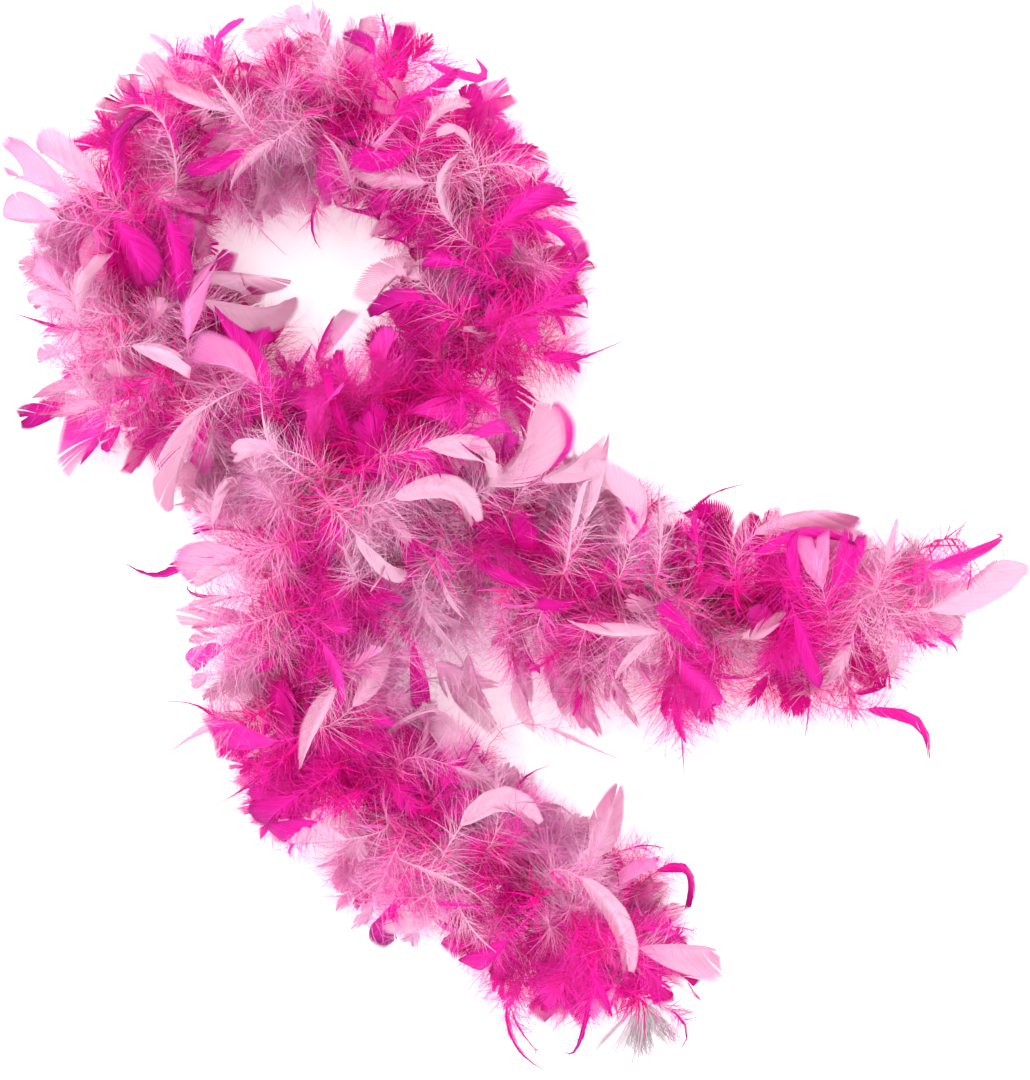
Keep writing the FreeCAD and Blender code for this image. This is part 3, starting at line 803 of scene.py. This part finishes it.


# The feathers that stand out, listed one by one: dye and vane shape; where the vane starts, its middle and
# its tip, in millimetres on the floor plan; its width in millimetres; its tint, and how much darker than its
# dye.
LAID = [
    # the loop's left side and top
    ("pale round", -296, 215, -322, 219, -342, 222, 20, 0.6, 0.06),
    ("pale blunt", -288, 230, -312, 243, -334, 250, 21, 0.55, 0.08),
    ("pale round", -266, 233, -292, 252, -314, 264, 20, 0.6, 0.06),
    ("hot blunt", -254, 236, -259, 263, -243, 284, 17, 0.45, 0.12),
    ("hot spike", -236, 293, -247, 298, -257, 304, 7, 0.35, 0.16),
    ("pale edge", -219, 262, -229, 284, -256, 290, 12, 0.85, 0),
    ("pale point", -220, 328, -232, 338, -242, 349, 9, 0.7, 0.05),
    ("hot spike", -218, 326, -218, 334, -217, 342, 4, 0.2, 0.3),
    ("hot spike", -214, 326, -212, 334, -210, 342, 4, 0.2, 0.3),
    ("hot blunt", -193, 336, -186, 345, -179, 352, 8, 0.9, 0.12),
    ("pale edge", -172, 281, -182, 294, -193, 311, 16, 0.95, 0),
    ("pale blunt", -182, 287, -202, 292, -223, 301, 12, 0.75, 0.02),
    ("pale point", -151, 269, -169, 256, -184, 236, 14, 0.85, 0),
    ("pale edge", -174, 226, -162, 211, -147, 196, 8, 0.95, 0),
    ("hot round", -258, 214, -247, 199, -240, 179, 27, 0.5, 0),
    ("hot round", -224, 216, -219, 194, -216, 163, 21, 0.45, 0.05),
    ("hot blunt", -172, 263, -187, 252, -201, 245, 17, 0.45, 0.02),
    ("hot point", -223, 284, -218, 272, -214, 258, 13, 0.4, 0.04),
    ("pale blunt", -140, 352, -150, 342, -158, 330, 20, 0.75, 0.05),
    ("pale round", -122, 340, -130, 352, -136, 364, 22, 0.85, 0),
    ("hot spike", -76, 336, -79, 350, -81, 363, 4, 0.35, 0.25),
    ("hot round", -84, 326, -92, 334, -101, 337, 17, 0.5, 0.14),
    ("hot point", -48, 322, -30, 317, -16, 332, 12, 0.75, 0.1),
    ("hot fluffy", -62, 292, -46, 304, -30, 318, 12, 0.6, 0),
    ("pale blunt", -50, 275, -40, 288, -22, 293, 10, 0.8, 0.02),
    ("pale blunt", -20, 265, -30, 274, -39, 270, 9, 0.8, 0.02),
    ("pale blunt", -34, 214, -41, 237, -28, 258, 14, 0.85, 0),
    ("pale point", -90, 260, -78, 271, -65, 284, 14, 0.25, 0.2),
    ("hot point", -76, 236, -94, 224, -112, 230, 17, 0.55, 0.04),
    ("hot spike", -127, 233, -130, 215, -124, 200, 6, 0.35, 0.14),
    ("hot spike", -66, 208, -80, 206, -92, 211, 4, 0.3, 0.25),
    ("hot blunt", 2, 212, 17, 228, 38, 240, 24, 0.55, 0),
    ("hot spike", 10, 258, 22, 257, 34, 255, 4, 0.3, 0.3),
    ("pale edge", 8, 252, 18, 248, 26, 238, 8, 0.9, 0.05),
    ("pale edge", -66, 245, -84, 251, -100, 261, 10, 0.95, 0),
    ("pale round", -50, 240, -72, 243, -95, 248, 16, 0.6, 0.06),
    ("pale point", -102, 244, -107, 259, -119, 273, 12, 0.9, 0),
    ("hot blunt", -60, 262, -78, 258, -92, 262, 22, 0.4, 0),
    ("hot point", -45, 279, -55, 286, -65, 291, 8, 0.55, 0),
    # down the left side to the waist
    ("hot spike", -291, 142, -312, 148, -336, 156, 5, 0.2, 0.32),
    ("pale fluffy", -280, 132, -298, 128, -318, 122, 14, 0.65, 0),
    ("pale fluffy", -280, 112, -298, 104, -318, 98, 14, 0.6, 0),
    ("hot fluffy", -244, 96, -258, 78, -270, 60, 12, 0.5, 0),
    ("pale round", -286, 157, -303, 162, -322, 163, 10, 0.8, 0.02),
    ("pale blunt", -284, 153, -284, 168, -279, 181, 24, 0.85, 0),
    ("pale blunt", -290, 165, -302, 174, -317, 180, 15, 0.45, 0.12),
    ("hot blunt", -300, 93, -314, 89, -328, 85, 17, 0.45, 0.14),
    ("pale blunt", -280, 94, -296, 89, -310, 86, 19, 0.45, 0.1),
    ("hot round", -268, 88, -279, 73, -290, 54, 32, 0.75, 0.05),
    ("pale edge", -272, 91, -288, 108, -304, 130, 8, 0.97, 0),
    ("pale point", -275, 93, -282, 109, -288, 126, 9, 0.9, 0.02),
    ("pale blunt", -247, 130, -229, 128, -213, 121, 18, 0.85, 0),
    ("hot point", -154, 99, -175, 128, -194, 158, 24, 0.55, 0),
    ("pale blunt", -163, 105, -180, 116, -196, 118, 22, 0.3, 0.16),
    ("pale edge", -196, 90, -212, 76, -218, 56, 12, 0.97, 0),
    ("pale round", -201, 86, -214, 60, -222, 30, 20, 0.75, 0),
    ("pale blunt", -152, 61, -164, 61, -177, 58, 14, 0.8, 0),
    ("pale blunt", -193, 12, -190, 34, -173, 37, 10, 0.75, 0.03),
    ("pale edge", -153, 62, -159, 80, -161, 101, 5, 0.97, 0),
    ("pale round", -206, 178, -180, 182, -152, 181, 17, 0.9, 0),
    ("pale round", -200, 161, -174, 157, -146, 166, 17, 0.92, 0),
    ("pale round", -210, 134, -211, 158, -205, 181, 24, 0.2, 0.16),
    # the short arm and the crossing
    ("hot blunt", -125, 120, -120, 135, -113, 151, 18, 0.55, 0.12),
    ("hot blunt", -50, 161, -68, 160, -85, 152, 12, 0.4, 0.14),
    ("pale blunt", -55, 176, -71, 181, -84, 166, 18, 0.85, 0.02),
    ("hot blunt", -28, 185, -38, 188, -48, 190, 15, 0.45, 0.02),
    ("hot point", 36, 168, 47, 180, 66, 187, 8, 0.5, 0.08),
    ("hot point", 28, 157, 45, 164, 61, 159, 12, 0.6, 0),
    ("hot spike", 37, 121, 62, 127, 85, 137, 7, 0.5, 0.05),
    ("hot blunt", 24, 214, 39, 209, 51, 195, 16, 0.5, 0.04),
    ("hot point", -27, 71, -26, 84, -26, 98, 14, 0.55, 0),
    ("hot blunt", -22, 68, -6, 77, 6, 61, 15, 0.7, 0.1),
    ("pale blunt", -50, 62, -18, 66, -6, 39, 23, 0.9, 0),
    ("pale blunt", -70, 28, -45, 35, -17, 15, 16, 0.9, 0),
    ("pale round", -8, 36, 10, 52, 20, 82, 26, 0.75, 0),
    ("hot blunt", 21, 47, 35, 64, 31, 86, 14, 0.8, 0),
    ("hot point", -63, 56, -52, 57, -38, 41, 19, 0.5, 0),
    ("pale round", 57, 14, 62, 38, 72, 68, 20, 0.93, 0),
    ("pale edge", 48, 6, 52, 28, 66, 42, 14, 0.97, 0),
    ("pale blunt", 88, 0, 81, 29, 63, 39, 18, 0.85, 0),
    ("pale round", 28, 40, 42, 46, 58, 60, 20, 0.8, 0),
    ("hot blunt", 96, 3, 95, 14, 91, 27, 17, 0.8, 0.12),
    # the right-hand arm
    ("pale spike", 108, 0, 108, 20, 110, 40, 7, 0.95, 0),
    ("hot spike", 132, 2, 142, 30, 168, 39, 7, 0.45, 0.06),
    ("pale round", 172, 4, 205, 17, 238, 18, 18, 0.6, 0.08),
    ("hot blunt", 172, -10, 205, 6, 234, 2, 16, 0.5, 0),
    ("hot blunt", 200, -34, 194, -17, 194, -3, 13, 0.45, 0),
    ("pale blunt", 216, -32, 213, -18, 212, -5, 26, 0.25, 0.16),
    ("hot blunt", 224, -34, 232, -16, 237, -2, 20, 0.5, 0),
    ("hot point", 236, -18, 244, -8, 256, -5, 10, 0.4, 0.1),
    ("pale point", 107, -62, 76, -64, 44, -54, 19, 0.9, 0),
    ("pale point", 105, -64, 92, -78, 78, -96, 10, 0.85, 0),
    ("hot blunt", 136, -74, 126, -60, 117, -45, 26, 0.45, 0),
    ("hot round", 120, -80, 137, -97, 148, -116, 28, 0.65, 0),
    ("hot blunt", 198, -50, 206, -70, 216, -88, 15, 0.45, 0),
    ("pale fluffy", 240, -56, 232, -78, 222, -96, 12, 0.75, 0),
    ("pale fluffy", 262, -52, 268, -72, 272, -88, 12, 0.75, 0),
    ("hot spike", 212, -73, 240, -67, 257, -48, 4, 0.15, 0.34),
    ("hot spike", 287, -20, 318, -9, 345, 5, 13, 0.7, 0),
    ("pale round", 290, -48, 320, -30, 343, -13, 24, 0.97, 0),
    ("pale fluffy", 258, -22, 264, -4, 268, 14, 9, 0.8, 0),
    ("hot spike", 319, -20, 317, -30, 314, -40, 4, 0.2, 0.25),
    ("hot point", 300, -64, 309, -69, 317, -78, 10, 0.5, 0.08),
    ("hot blunt", 254, -117, 282, -120, 299, -147, 11, 0.6, 0.04),
    ("hot blunt", 245, -106, 254, -103, 263, -100, 9, 0.4, 0.1),
    ("hot spike", 125, -128, 126, -146, 128, -166, 4, 0.35, 0.22),
    ("pale point", 35, -131, 58, -141, 83, -152, 9, 0.85, 0.02),
    # below the crossing
    ("pale fluffy", 0, -62, 12, -86, 20, -112, 16, 0.5, 0),
    ("pale fluffy", -25, -62, -20, -88, -12, -110, 16, 0.6, 0),
    ("pale fluffy", -46, -84, -26, -95, -4, -100, 16, 0.55, 0),
    ("pale fluffy", 26, -66, 38, -90, 46, -116, 16, 0.6, 0),
    ("pale fluffy", 54, -84, 61, -104, 66, -124, 16, 0.65, 0),
    ("pale fluffy", -42, -150, -22, -158, 0, -164, 16, 0.55, 0),
    ("pale round", -44, -84, -24, -98, -8, -116, 30, 0.6, 0.04),
    ("pale round", 30, -84, 44, -104, 52, -124, 26, 0.55, 0.04),
    ("hot point", -200, -8, -231, -25, -258, -16, 12, 0.55, 0.12),
    ("hot spike", -178, -38, -198, -38, -214, -30, 6, 0.3, 0.18),
    ("hot blunt", -186, -71, -200, -77, -212, -87, 14, 0.8, 0.06),
    ("hot spike", -190, -122, -212, -112, -238, -112, 4, 0.15, 0.34),
    ("pale point", -190, -128, -208, -134, -229, -147, 9, 0.92, 0),
    ("hot round", -150, -135, -166, -137, -187, -138, 27, 0.65, 0.06),
    ("pale point", -110, -98, -121, -122, -134, -154, 21, 0.85, 0),
    ("hot blunt", -118, -70, -107, -92, -106, -113, 10, 0.8, 0),
    ("pale blunt", -99, -112, -87, -93, -81, -73, 16, 0.75, 0),
    ("pale edge", -55, -40, -40, -62, -21, -95, 14, 0.97, 0),
    ("pale point", -50, -45, -33, -55, -12, -61, 14, 0.75, 0.03),
    ("pale point", -38, -30, -32, -42, -24, -54, 9, 0.97, 0),
    ("hot spike", -50, -4, -37, -13, -35, -33, 4, 0.5, 0.1),
    ("pale blunt", -95, 3, -84, -9, -66, -20, 9, 0.97, 0),
    ("pale point", -96, -24, -100, -14, -103, -3, 15, 0.85, 0),
    ("pale blunt", -172, -8, -188, -14, -203, -27, 24, 0.45, 0.08),
    ("pale fluffy", -170, -14, -186, -22, -204, -32, 14, 0.7, 0),
    ("pale fluffy", -172, -34, -188, -40, -204, -44, 14, 0.65, 0),
    ("pale fluffy", -172, -58, -190, -64, -210, -70, 14, 0.7, 0),
    ("pale fluffy", -172, -82, -192, -90, -212, -98, 14, 0.65, 0),
    ("pale fluffy", 6, -84, 14, -106, 24, -128, 14, 0.6, 0),
    ("pale fluffy", 38, -92, 54, -112, 68, -134, 14, 0.65, 0),
    ("pale fluffy", 74, -88, 84, -108, 94, -126, 14, 0.6, 0),
    ("hot blunt", -60, -72, -54, -91, -49, -112, 16, 0.35, 0.1),
    ("pale round", -62, -112, -38, -128, -18, -146, 36, 0.88, 0),
    ("hot spike", -33, -161, -23, -148, -14, -133, 8, 0.45, 0.06),
    ("pale edge", -26, -104, -10, -120, 5, -139, 10, 0.9, 0.02),
    ("hot spike", -160, -158, -178, -172, -200, -185, 5, 0.15, 0.32),
    ("hot round", -138, -173, -150, -182, -157, -191, 20, 0.4, 0.12),
    ("hot blunt", -123, -189, -137, -197, -149, -206, 16, 0.45, 0.1),
    ("hot spike", -138, -203, -143, -210, -145, -217, 6, 0.9, 0.12),
    ("pale blunt", -103, -201, -123, -203, -142, -206, 18, 0.8, 0.03),
    ("pale edge", -55, -219, -36, -226, -12, -240, 10, 0.97, 0),
    ("pale blunt", -45, -256, -58, -258, -73, -257, 17, 0.9, 0),
    ("hot blunt", -73, -248, -75, -259, -72, -271, 15, 0.45, 0.16),
    ("pale fluffy", -78, -226, -86, -246, -95, -266, 14, 0.65, 0),
    ("pale fluffy", -46, -236, -54, -256, -62, -276, 14, 0.7, 0),
    ("hot fluffy", -62, -228, -70, -246, -76, -264, 12, 0.45, 0),
    ("hot point", -45, -244, -25, -244, -4, -248, 8, 0.6, 0),
    # the tail
    ("pale blunt", -26, -192, -7, -178, 23, -189, 18, 0.85, 0),
    ("hot spike", 12, -180, 20, -161, 35, -155, 7, 0.55, 0.05),
    ("pale spike", -2, -176, -3, -166, -2, -155, 8, 0.95, 0),
    ("pale round", 62, -214, 73, -196, 80, -175, 24, 0.6, 0.03),
    ("hot spike", 92, -212, 103, -211, 114, -213, 6, 0.3, 0.22),
    ("hot blunt", 108, -229, 122, -224, 134, -249, 12, 0.45, 0.1),
    ("pale blunt", 55, -228, 76, -250, 86, -287, 15, 0.85, 0),
    ("hot spike", 112, -262, 124, -264, 136, -269, 3, 0.2, 0.3),
    ("pale blunt", 94, -275, 120, -277, 147, -282, 24, 0.6, 0.03),
    ("hot fluffy", 80, -272, 98, -288, 114, -308, 12, 0.6, 0),
    ("hot fluffy", 58, -282, 66, -302, 74, -320, 12, 0.5, 0),
    ("hot fluffy", 88, -262, 108, -262, 126, -272, 12, 0.55, 0),
    ("hot spike", 116, -318, 126, -330, 122, -345, 7, 0.3, 0.18),
    ("hot spike", 61, -304, 56, -332, 43, -354, 6, 0.4, 0.1),
    ("hot spike", 4, -322, 10, -348, 31, -368, 8, 0.45, 0.08),
    ("hot spike", 8, -326, 16, -342, 28, -356, 5, 0.55, 0.08),
    ("hot blunt", 6, -268, -5, -280, -17, -293, 17, 0.5, 0.02),
    ("pale edge", -22, -257, -13, -268, -2, -278, 5, 0.97, 0),
]

CUSHION_RADIUS = 0.064
CUSHION_TOP = 0.067
CUSHION_FALL = 0.02
CUSHION_REACH = 1.8
CUSHION_LEAST = 0.014
BARE_HEIGHT = 0.02

LAID_RISE = (0.002, 0.006, 0.007)
LAID_TIP_SHARE = 0.92
LAID_HALF_WIDTH = 0.00063
LAID_DOWN_COUNT = 190
LAID_DOWN_LENGTH = 0.027
LAID_STIFF_LENGTH = 0.0125
LAID_BARB_PITCH = 0.0009
LOPSIDED_SHARE = 0.65


def cushion_height(x, y):
    """How high the feathers stand over a place on the floor."""
    apart = np.hypot(LINE[:, 0] - x, LINE[:, 1] - y) / CUSHION_RADIUS
    dome = LINE[:, 2] + CUSHION_TOP * np.sqrt(np.maximum(1 - apart ** 2, 0))
    dome = dome - CUSHION_FALL * np.maximum(apart - 1, 0)
    near = apart < CUSHION_REACH
    if not near.any():
        return BARE_HEIGHT
    return max(float(dome[near].max()), CUSHION_LEAST)


def lay_feathers():
    """The feathers that stand out: each lies on the cushion of fluff, rooted in the core near its base."""
    rng = np.random.default_rng(SEED + 10)
    for kind, *plan, wide, tint, dark in LAID:
        colour, shape = kind.split()
        plan = np.array(plan).reshape(3, 2) * 0.001
        plan[2] = plan[1] + (plan[2] - plan[1]) * LAID_TIP_SHARE
        outer = np.array([[x, y, cushion_height(x, y) + up] for (x, y), up in zip(plan, LAID_RISE)])
        nearest = int(np.argmin(np.linalg.norm(LINE - outer[0], axis=1)))
        places = np.vstack([LINE[nearest], outer])
        feather, vane_from = laid_feather(places, rng.normal(0, 0.14), rng.normal(0, 0.28))
        style = {**BASE_STYLE, **STYLES[shape]}
        style["vane_barbs"] = max(int(feather.length * (1 - vane_from) / LAID_BARB_PITCH), 14)
        style["vane_start"] = vane_from
        style["down_end"] = min(vane_from + 0.14, 0.85)
        if shape == "fluffy":
            style["down_end"] = 0.92
            style["vane_start"] = 0.74
        style["down_count"] = max(style["down_count"], LAID_DOWN_COUNT)
        style["down_length"] = LAID_DOWN_LENGTH
        style["vane_width"] = LAID_HALF_WIDTH * wide
        style["stiff_length"] = LAID_STIFF_LENGTH
        style["camber"] = rng.normal(0.0, 0.22)
        if "lopsided" not in STYLES[shape] and shape != "spike" and rng.uniform() < LOPSIDED_SHARE:
            style["lopsided"] = 0.22
            style["vane_width"] *= 1.55
            style["quill"] = 0.8
        style["split"] = 0.05
        style["dark"] = dark
        add_feather(groups[colour, section_of(LINE_AT[nearest])], feather, style, tint, rng)


fill_core()
mat_core()
lay_feathers()


# ------------------------------------------------------------------------------ materials

def ramp(tree, source, stops):
    """A colour ramp on a value."""
    node = tree.nodes.new("ShaderNodeValToRGB")
    elements = node.color_ramp.elements
    while len(elements) < len(stops):
        elements.new(0.5)
    for element, (place, colour) in zip(elements, stops):
        element.position = place
        element.color = (*colour, 1.0)
    tree.links.new(source, node.inputs["Fac"])
    return node.outputs["Color"]


def mixed(tree, under, colour, factor):
    """A colour laid over another by a factor."""
    node = tree.nodes.new("ShaderNodeMix")
    node.data_type = "RGBA"
    tree.links.new(factor, node.inputs["Factor"])
    tree.links.new(under, node.inputs["A"])
    node.inputs["B"].default_value = (*colour, 1.0)
    return node.outputs["Result"]


def strip_material(name, roughness):
    """A new material, with its shader and the strips' tint and tone as the X and Y of a split vector."""
    material = bpy.data.materials.new(name)
    material.use_nodes = True
    tree = material.node_tree
    shader = tree.nodes["Principled BSDF"]
    shader.inputs["Roughness"].default_value = roughness
    place = tree.nodes.new("ShaderNodeUVMap")
    place.uv_map = TONE_MAP
    split = tree.nodes.new("ShaderNodeSeparateXYZ")
    tree.links.new(place.outputs["UV"], split.inputs["Vector"])
    return material, tree, shader, split


LIGHT_STOPS = [(0.45, (0, 0, 0)), (1.0, (0.9, 0.9, 0.9))]
DEEP_STOPS = [(0.0, (0.8, 0.8, 0.8)), (0.5, (0, 0, 0))]


def feather_material(name, tones, light, deep, sheen_tint):
    """Dyed feather: a colour along the tone, lightened or deepened by the barb's tint. The colour along the
    tone is partly the dye and partly painted light and shade.
    """
    material, tree, shader, split = strip_material(name, 0.55)
    base = ramp(tree, split.outputs["Y"], tones)
    lighter = mixed(tree, base, light, ramp(tree, split.outputs["X"], LIGHT_STOPS))
    deeper = mixed(tree, lighter, deep, ramp(tree, split.outputs["X"], DEEP_STOPS))
    tree.links.new(deeper, shader.inputs["Base Color"])
    shader.inputs["Specular IOR Level"].default_value = 0.12
    shader.inputs["Sheen Weight"].default_value = 0.05
    shader.inputs["Sheen Roughness"].default_value = 0.4
    shader.inputs["Sheen Tint"].default_value = (*sheen_tint, 1.0)
    return material


def yarn_material(name, light, dark):
    """Spun fibre in a light and a dark shade."""
    material, tree, shader, split = strip_material(name, 0.8)
    tree.links.new(ramp(tree, split.outputs["X"], [(0.0, dark), (1.0, light)]), shader.inputs["Base Color"])
    shader.inputs["Sheen Weight"].default_value = 0.2
    return material


# Tones up to 0.16 are deep crimson, for the pale dye too: painted shade near the core. The fluff's tones near
# 0.42 are lighter and the vanes' from 0.56 darker, to make up for the fluff's own shade and the full light on
# the vanes: painted light and shade. The darkest stops are the dyed dark tips and the painted shade at the
# vane's rim.
FEATHER_MATERIALS = {
    "hot": feather_material(
        "hot_pink_feather",
        [
            (0.0, (0.80, 0.001, 0.20)), (0.16, (0.90, 0.002, 0.38)), (0.30, (0.97, 0.010, 0.46)),
            (0.42, (0.98, 0.022, 0.55)), (0.56, (0.80, 0.006, 0.36)), (0.72, (0.70, 0.006, 0.33)),
            (0.86, (0.38, 0.004, 0.20)), (1.0, (0.13, 0.003, 0.07)),
        ],
        light=(0.96, 0.065, 0.55), deep=(0.82, 0.001, 0.32), sheen_tint=(1.0, 0.5, 0.9),
    ),
    "pale": feather_material(
        "pale_pink_feather",
        [
            (0.0, (0.93, 0.008, 0.32)), (0.16, (0.96, 0.09, 0.52)), (0.30, (0.99, 0.39, 0.77)),
            (0.42, (0.96, 0.59, 0.84)), (0.56, (0.86, 0.42, 0.62)), (0.72, (0.84, 0.38, 0.59)),
            (0.86, (0.74, 0.22, 0.49)), (1.0, (0.46, 0.11, 0.30)),
        ],
        light=(0.86, 0.55, 0.70), deep=(0.97, 0.22, 0.64), sheen_tint=(1.0, 0.8, 0.9),
    ),
}
# The cotton is white: the yarn's dark shade is partly painted shade among the fibres.
YARN = yarn_material("cotton_yarn", (0.93, 0.89, 0.91), (0.58, 0.47, 0.52))
THREAD = yarn_material("binding_thread", (0.92, 0.88, 0.88), (0.80, 0.70, 0.74))


def piece(name, strips, material):
    """A finished piece of the boa: its mesh, material, body and the CAD node it stands for."""
    data = strips.mesh(name)
    data.materials.append(material)
    thing = bpy.data.objects.new(name + "_piece", data)
    bpy.context.scene.collection.objects.link(thing)
    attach(thing, "root")
    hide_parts(name)
    return thing


for (colour, k), strips in groups.items():
    dye = DYES[colour]
    piece(f"feathers_{dye}_{k + 1:02d}", strips, FEATHER_MATERIALS[colour])


# ------------------------------------------------------------------------------ core, thread and ends

STRAND_TONE = 0.5

PLIES = 3
PLY_OFFSET = 0.0017
PLY_RADIUS = 0.00145
PLY_PITCH = 0.016
PLY_STEP = 0.0022

WINDING_RADIUS = 0.0034
THREAD_TINT = 0.6
THREAD_START = 0.016
WHIPPING_GAP = 0.0006
WHIPPING_LENGTH = 0.0108


def add_winding(strips, distance, turn, offset, radius, sides, tint):
    """An even round strand that winds round the core's line."""
    point, way = along_core(distance)
    side, upward = core_frame(way)
    turn = turn[:, None]
    line = point + (side * np.cos(turn) + upward * np.sin(turn)) * offset
    stations = len(line)
    grid = tube(line, np.full(stations, radius), sides)[None]
    strips.add_grid(grid, np.full((1, stations), STRAND_TONE), np.array([tint]), closed=True)


def make_core():
    """Three yarn plies twisted round each other along the core's line."""
    strips = Strips()
    distance = np.linspace(0.0, CORE_LENGTH, int(CORE_LENGTH / PLY_STEP))
    for ply in range(PLIES):
        turn = 2 * math.pi * (distance / PLY_PITCH + ply / PLIES)
        add_winding(strips, distance, turn, PLY_OFFSET, PLY_RADIUS, 7, 0.35 + 0.25 * ply)
    return piece("yarn_core", strips, YARN)


def make_thread(name, first, last, turns, turn_steps, radius, sides):
    """Thread wound round the core from one distance along it to another."""
    strips = Strips()
    u = np.linspace(0.0, 1.0, turns * turn_steps)
    distance = first + (last - first) * u
    add_winding(strips, distance, 2 * math.pi * turns * u, WINDING_RADIUS, radius, sides, THREAD_TINT)
    return piece(name, strips, THREAD)


def make_whipping(name, end, sign):
    """Thread wound tight round an end of the core."""
    first = end + sign * WHIPPING_GAP
    return make_thread(name, first, first + sign * WHIPPING_LENGTH, 15, 14, 0.00042, 6)


LOCK_FIBRES = 9
FIBRE_STATIONS = 16
FIBRE_PARTS = [0, 0.8, 1.0]
FIBRE_RADII = [0.00032, 0.00028, 0.00012]
FIBRE_ROOT_SPREAD = 0.0025
FIBRE_ROOT_DEPTH = 0.004
FIBRE_LOWEST = 0.0008
FRAY_LENGTH_UPPER = 0.026
FRAY_LENGTH_LOWER = 0.048


def make_fray(name, distance, sign, reach, count, fan, turn, fall_share, seed):
    """The plies' fine fibres, loose past the whipping, wavy and fanned out in locks."""
    rng = np.random.default_rng(seed)
    strips = Strips()
    point, way = along_core(distance)
    way = way * sign
    side, upward = core_frame(way)
    u = np.linspace(0.0, 1.0, FIBRE_STATIONS)
    radii = np.interp(u, FIBRE_PARTS, FIBRE_RADII)
    grids, shades = [], []
    for fibre in range(count):
        if fibre % LOCK_FIBRES == 0:
            angle = rng.normal(turn, fan)
            swing = rng.normal(0, 0.12)
            crimp = rng.uniform(0.0006, 0.0016)
            phase = rng.uniform(0, 2 * math.pi)
            waves = rng.uniform(12, 22)
            lock_reach = reach * rng.uniform(0.70, 1.05)
            # Each lock is lighter or darker: partly random tone, partly painted shade among the fibres.
            lock_shade = rng.uniform(0.15, 0.85)
        spin = rng.uniform(0, 2 * math.pi)
        offset = FIBRE_ROOT_SPREAD * math.sqrt(rng.uniform())
        root = point + (side * math.cos(spin) + upward * math.sin(spin)) * offset - way * FIBRE_ROOT_DEPTH
        own_angle = angle + rng.normal(0, 0.06)
        ripple = waves * u + phase + rng.normal(0, 0.35)
        heading = unit(way * math.cos(own_angle) + side * math.sin(own_angle))
        length = lock_reach * rng.uniform(0.80, 1.03)
        sideways = swing * length * u ** 2 + crimp * np.sin(ripple) * np.sqrt(u)
        line = root + heading * (length * u)[:, None] + side * sideways[:, None]
        floor = 0.0012 + 0.009 * rng.uniform() ** 2
        rest = point[2] + (floor - point[2]) * fall_share
        fall = point[2] + (rest - point[2]) * (1 - (1 - np.clip(u * 1.4, 0, 1)) ** 2)
        height = fall + crimp * np.cos(ripple) * u * 0.6 + (root[2] - point[2]) * (1 - u)
        line[:, 2] = np.maximum(height, FIBRE_LOWEST)
        grids.append(tube(line, radii, 3))
        shades.append(min(max(lock_shade + rng.normal(0, 0.16), 0.05), 0.95))
    tone = np.full((count, FIBRE_STATIONS), STRAND_TONE)
    strips.add_grid(np.array(grids), tone, np.array(shades), closed=True)
    return piece(name, strips, YARN)


core = make_core()
thread = make_thread("binding_thread", THREAD_START, CORE_LENGTH - THREAD_START, 48, 20, 0.0003, 5)
whipping_upper = make_whipping("end_whipping_upper", 0.0, 1)
whipping_lower = make_whipping("end_whipping_lower", CORE_LENGTH, -1)
fray_upper = make_fray(
    "frayed_yarn_upper", 0.0, -1, FRAY_LENGTH_UPPER,
    count=90, fan=0.60, turn=0.0, fall_share=-0.35, seed=SEED + 1,
)
fray_lower = make_fray(
    "frayed_yarn_lower", CORE_LENGTH, 1, FRAY_LENGTH_LOWER,
    count=234, fan=0.38, turn=-0.46, fall_share=0.72, seed=SEED + 2,
)
